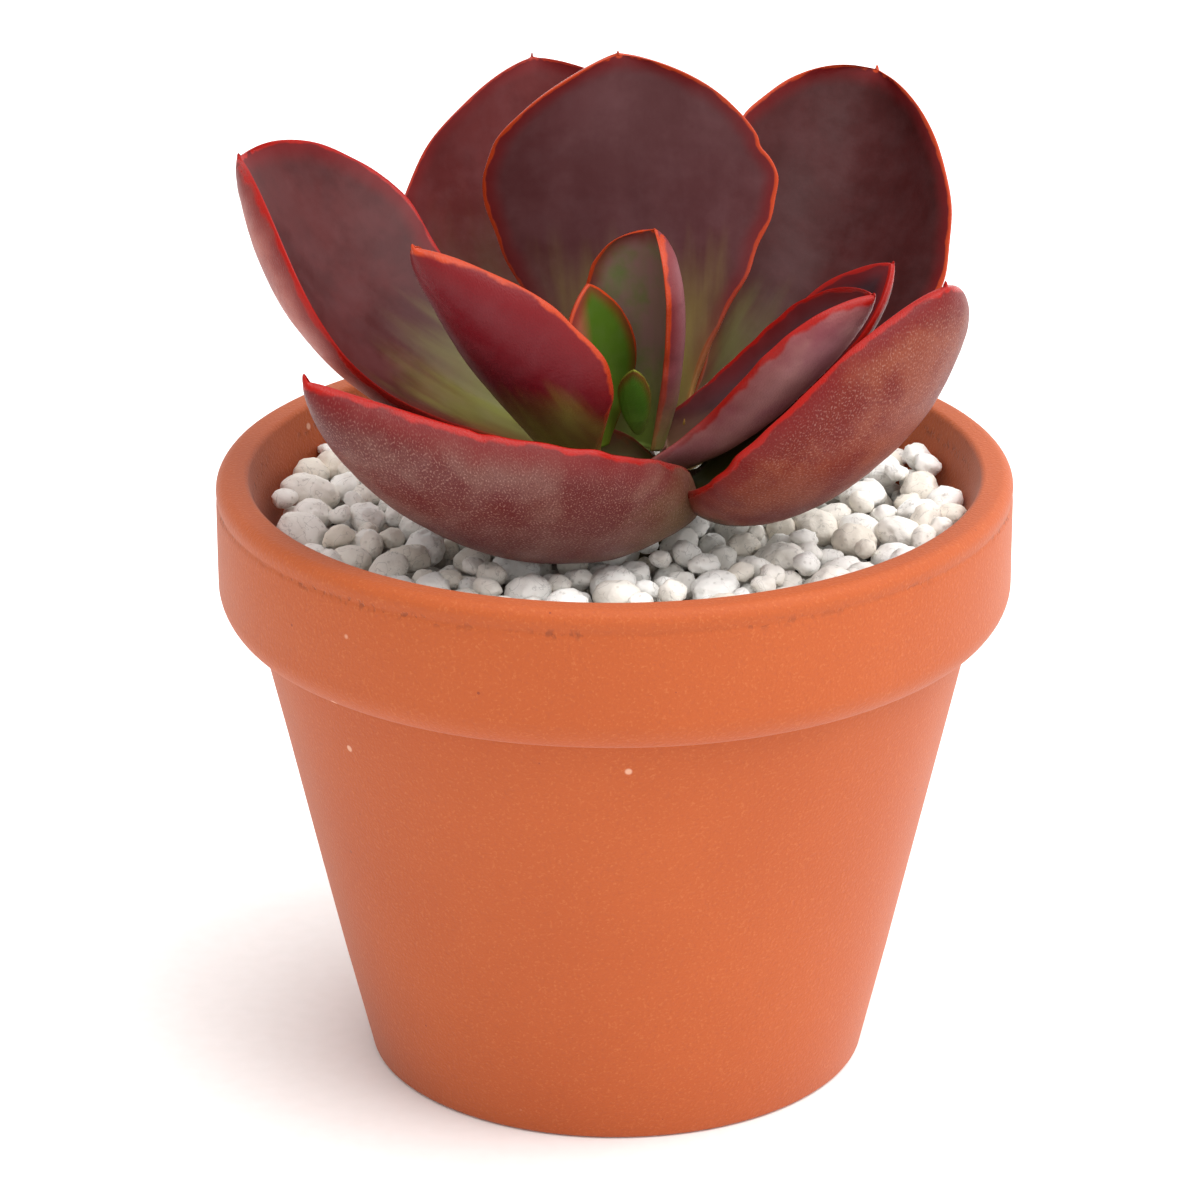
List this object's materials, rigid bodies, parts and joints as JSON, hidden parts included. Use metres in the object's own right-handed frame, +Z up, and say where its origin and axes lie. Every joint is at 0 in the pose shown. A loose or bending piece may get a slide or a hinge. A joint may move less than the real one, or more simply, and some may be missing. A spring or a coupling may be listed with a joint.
{
  "type": "potted succulent",
  "caption": "Rosette succulent with broad cupped leaves, planted in a round tapered clay pot topped with white pebbles; stands on its flat foot.",
  "frame": {"origin": "centre of the pot's foot, on the surface that it stands on", "axes": "+Z up, along the pot's axis; the plant's front, as it is usually seen, faces -Y; +X to the viewer's right"},
  "size_m": [0.11, 0.11, 0.1422],
  "materials": {
    "terracotta": "matte",
    "potting_mix": "matte",
    "gravel": "matte",
    "white_pebble": "matte",
    "stem_bark": "matte",
    "leaf_plum": "satin",
    "leaf_green": "satin"
  },
  "bodies": {
    "root": {"pot": "terracotta", "potting_soil": "potting_mix", "gravel_bed": "gravel", "stem": "stem_bark", "leaf_front_left": "leaf_plum", "leaf_front_right": "leaf_plum", "leaf_left": "leaf_plum", "leaf_right_back": "leaf_plum", "leaf_back_left": "leaf_plum", "leaf_right": "leaf_plum", "leaf_right_upper": "leaf_plum", "leaf_back_center": "leaf_plum", "leaf_inner_left": "leaf_plum", "leaf_inner_back": "leaf_green", "leaf_inner_right": "leaf_green", "leaf_core": "leaf_green", "pebble_01": "white_pebble", "pebble_02": "white_pebble", "pebble_03": "white_pebble", "pebble_04": "white_pebble", "pebble_05": "white_pebble", "pebble_06": "white_pebble", "pebble_07": "white_pebble", "pebble_08": "white_pebble", "pebble_09": "white_pebble", "pebble_10": "white_pebble", "pebble_11": "white_pebble", "pebble_12": "white_pebble", "pebble_13": "white_pebble", "pebble_14": "white_pebble", "pebble_15": "white_pebble", "pebble_16": "white_pebble", "pebble_17": "white_pebble", "pebble_18": "white_pebble", "pebble_19": "white_pebble", "pebble_20": "white_pebble", "pebble_21": "white_pebble", "pebble_22": "white_pebble", "pebble_23": "white_pebble", "pebble_24": "white_pebble", "pebble_25": "white_pebble", "pebble_26": "white_pebble", "pebble_27": "white_pebble", "pebble_28": "white_pebble", "pebble_29": "white_pebble", "pebble_30": "white_pebble", "pebble_31": "white_pebble", "pebble_32": "white_pebble", "pebble_33": "white_pebble", "pebble_34": "white_pebble", "pebble_35": "white_pebble", "pebble_36": "white_pebble", "pebble_37": "white_pebble", "pebble_38": "white_pebble", "pebble_39": "white_pebble", "pebble_40": "white_pebble"}
  },
  "joints": []
}
